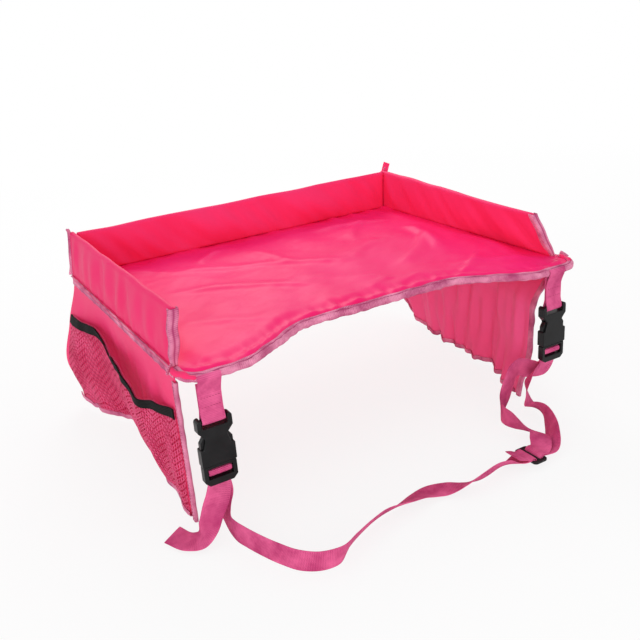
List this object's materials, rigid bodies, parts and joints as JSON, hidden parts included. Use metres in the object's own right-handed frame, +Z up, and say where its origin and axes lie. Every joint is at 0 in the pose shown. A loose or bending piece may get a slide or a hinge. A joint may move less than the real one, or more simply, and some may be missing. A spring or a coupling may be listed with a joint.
{
  "type": "car seat tray table",
  "caption": "Soft fabric travel tray with stiff side and rear walls, a belly cut-out at its open front, hanging side skirts with net pockets, and a webbing belt on quick-release buckles.",
  "frame": {"origin": "centre of the tray base's underside, on the face that rests on the seat's arms", "axes": "+Z up, +X to the tray's right as the child sits, +Y away from the child, to the rear wall"},
  "size_m": [0.4606, 0.4367, 0.1989],
  "materials": {
    "nylon": "satin pink woven nylon",
    "tape": "ribbed pink binding tape",
    "webbing": "woven pink webbing",
    "net": "open pink net",
    "elastic": "black braided elastic",
    "moulded": "black moulded acetal",
    "board": "plain stiffening board, hidden in the cloth"
  },
  "bodies": {
    "tray": {"base_board": "board", "base_top_cover": "nylon", "base_under_cover": "nylon", "left_wall_cover": "nylon", "left_wall_board": "board", "rear_wall_cover": "nylon", "rear_wall_board": "board", "right_wall_cover": "nylon", "right_wall_board": "board", "left_wall_end_binding": "tape", "right_wall_end_binding": "tape", "rear_left_corner_binding": "tape", "rear_right_corner_binding": "tape", "front_edge_binding": "tape", "belt": "webbing"},
    "left_skirt": {"left_skirt": "nylon", "left_mesh_pocket": "net", "left_pocket_elastic": "elastic", "left_seam_binding": "tape", "left_skirt_front_binding": "tape"},
    "right_skirt": {"right_skirt": "nylon", "right_mesh_pocket": "net", "right_pocket_elastic": "elastic", "right_seam_binding": "tape", "right_skirt_front_binding": "tape"},
    "left_socket": {"left_tab": "webbing", "left_socket": "moulded"},
    "left_plug": {"left_plug": "moulded"},
    "left_plug_left_arm": {"left_plug_left_arm": "moulded"},
    "left_plug_right_arm": {"left_plug_right_arm": "moulded"},
    "right_socket": {"right_tab": "webbing", "right_socket": "moulded"},
    "right_plug": {"right_plug": "moulded"},
    "right_plug_left_arm": {"right_plug_left_arm": "moulded"},
    "right_plug_right_arm": {"right_plug_right_arm": "moulded"},
    "tri_glide": {"tri_glide": "moulded"}
  },
  "joints": [
    {"name": "left_skirt_swing", "type": "hinge", "parent": "tray", "child": "left_skirt", "pos_m": [-0.2085, 0, -0.0018], "axis": [0, 1, 0], "range_deg": [-60, 90]},
    {"name": "right_skirt_swing", "type": "hinge", "parent": "tray", "child": "right_skirt", "pos_m": [0.2085, 0, -0.0018], "axis": [0, -1, 0], "range_deg": [-50, 90]},
    {"name": "left_tab_swing", "type": "hinge", "parent": "tray", "child": "left_socket", "pos_m": [-0.192, -0.1811, -0.0028], "axis": [-1, 0, 0], "range_deg": [-8, 80], "deforming": ["belt"]},
    {"name": "left_plug_release", "type": "slide", "parent": "left_socket", "child": "left_plug", "axis": [0, 0, -1], "range_m": [0, 0.03], "deforming": ["belt", "left_plug_left_arm", "left_plug_right_arm"]},
    {"name": "left_plug_left_arm_press", "type": "hinge", "parent": "left_plug", "child": "left_plug_left_arm", "pos_m": [-0.1995, -0.1811, -0.0751], "axis": [0, 1, 0], "range_deg": [0, 6.5], "stiffness_Nm_per_rad": 0.8},
    {"name": "left_plug_right_arm_press", "type": "hinge", "parent": "left_plug", "child": "left_plug_right_arm", "pos_m": [-0.1845, -0.1811, -0.0751], "axis": [0, -1, 0], "range_deg": [0, 6.5], "stiffness_Nm_per_rad": 0.8},
    {"name": "right_tab_swing", "type": "hinge", "parent": "tray", "child": "right_socket", "pos_m": [0.177, -0.1811, -0.0028], "axis": [-1, 0, 0], "range_deg": [-8, 80], "deforming": ["belt"]},
    {"name": "right_plug_release", "type": "slide", "parent": "right_socket", "child": "right_plug", "axis": [0, 0, -1], "range_m": [0, 0.03], "deforming": ["belt", "right_plug_left_arm", "right_plug_right_arm"]},
    {"name": "right_plug_left_arm_press", "type": "hinge", "parent": "right_plug", "child": "right_plug_left_arm", "pos_m": [0.1695, -0.1811, -0.0751], "axis": [0, 1, 0], "range_deg": [0, 6.5], "stiffness_Nm_per_rad": 0.8},
    {"name": "right_plug_right_arm_press", "type": "hinge", "parent": "right_plug", "child": "right_plug_right_arm", "pos_m": [0.1845, -0.1811, -0.0751], "axis": [0, -1, 0], "range_deg": [0, 6.5], "stiffness_Nm_per_rad": 0.8},
    {"name": "tri_glide_slide", "type": "slide", "parent": "tray", "child": "tri_glide", "axis": [1, 0, 0], "range_m": [-0.02, 0.02], "deforming": ["belt"]}
  ]
}
